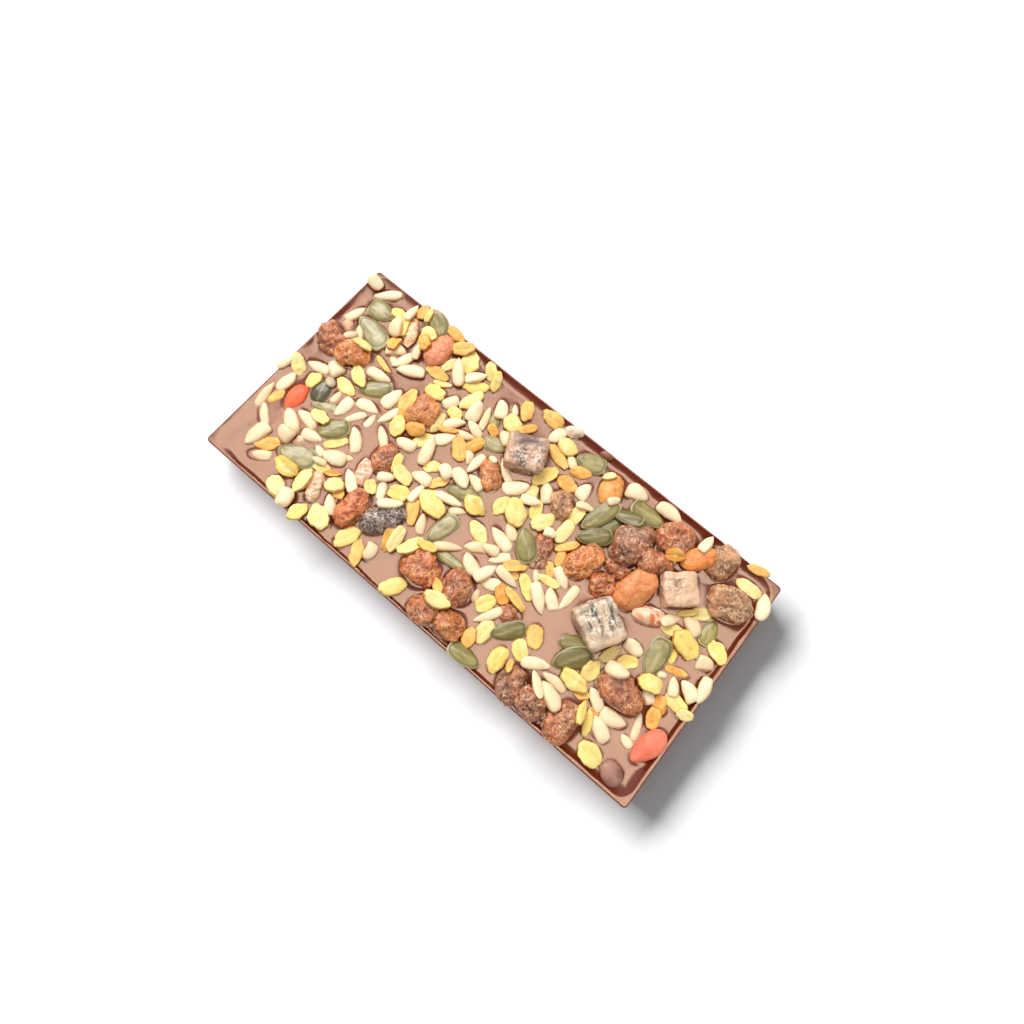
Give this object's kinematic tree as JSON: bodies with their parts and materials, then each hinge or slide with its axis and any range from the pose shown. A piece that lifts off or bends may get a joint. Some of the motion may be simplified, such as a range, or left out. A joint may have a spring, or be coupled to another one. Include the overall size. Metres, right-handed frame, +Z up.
{
  "type": "milk chocolate muesli bar",
  "caption": "Rectangular milk chocolate tablet with a raised rim, strewn with seeds, oat flakes and dried fruit on its top.",
  "frame": {"origin": "middle of the flat underside", "axes": "+X along the bar's length, +Y across its width, +Z up out of the strewn side"},
  "size_m": [0.163, 0.0801, 0.0136],
  "materials": {
    "chocolate": "satin milk chocolate",
    "raisin": "wrinkled raisin skin",
    "apricot": "dried apricot",
    "goji": "smooth dried berry",
    "fruit_shred": "pale dried fruit",
    "candied_fruit": "sugar-frosted candied fruit"
  },
  "bodies": {
    "root": {"chocolate_slab": "chocolate", "raisin_01": "raisin", "raisin_02": "raisin", "raisin_03": "raisin", "raisin_04": "raisin", "raisin_05": "raisin", "raisin_06": "raisin", "raisin_07": "raisin", "raisin_08": "raisin", "raisin_09": "raisin", "raisin_10": "raisin", "raisin_11": "raisin", "raisin_12": "raisin", "raisin_13": "raisin", "raisin_14": "raisin", "raisin_15": "raisin", "raisin_16": "raisin", "raisin_17": "raisin", "raisin_18": "raisin", "raisin_19": "raisin", "raisin_20": "raisin", "raisin_21": "raisin", "raisin_22": "raisin", "raisin_23": "raisin", "raisin_24": "raisin", "raisin_25": "raisin", "raisin_26": "raisin", "raisin_27": "raisin", "apricot_piece_01": "apricot", "apricot_piece_02": "apricot", "apricot_piece_03": "apricot", "apricot_piece_04": "apricot", "goji_berry_01": "goji", "goji_berry_02": "goji", "fruit_shred_01": "fruit_shred", "fruit_shred_02": "fruit_shred", "fruit_shred_03": "fruit_shred", "fruit_shred_04": "fruit_shred", "candied_cube_01": "candied_fruit", "candied_cube_02": "candied_fruit", "candied_cube_03": "candied_fruit"}
  },
  "joints": []
}
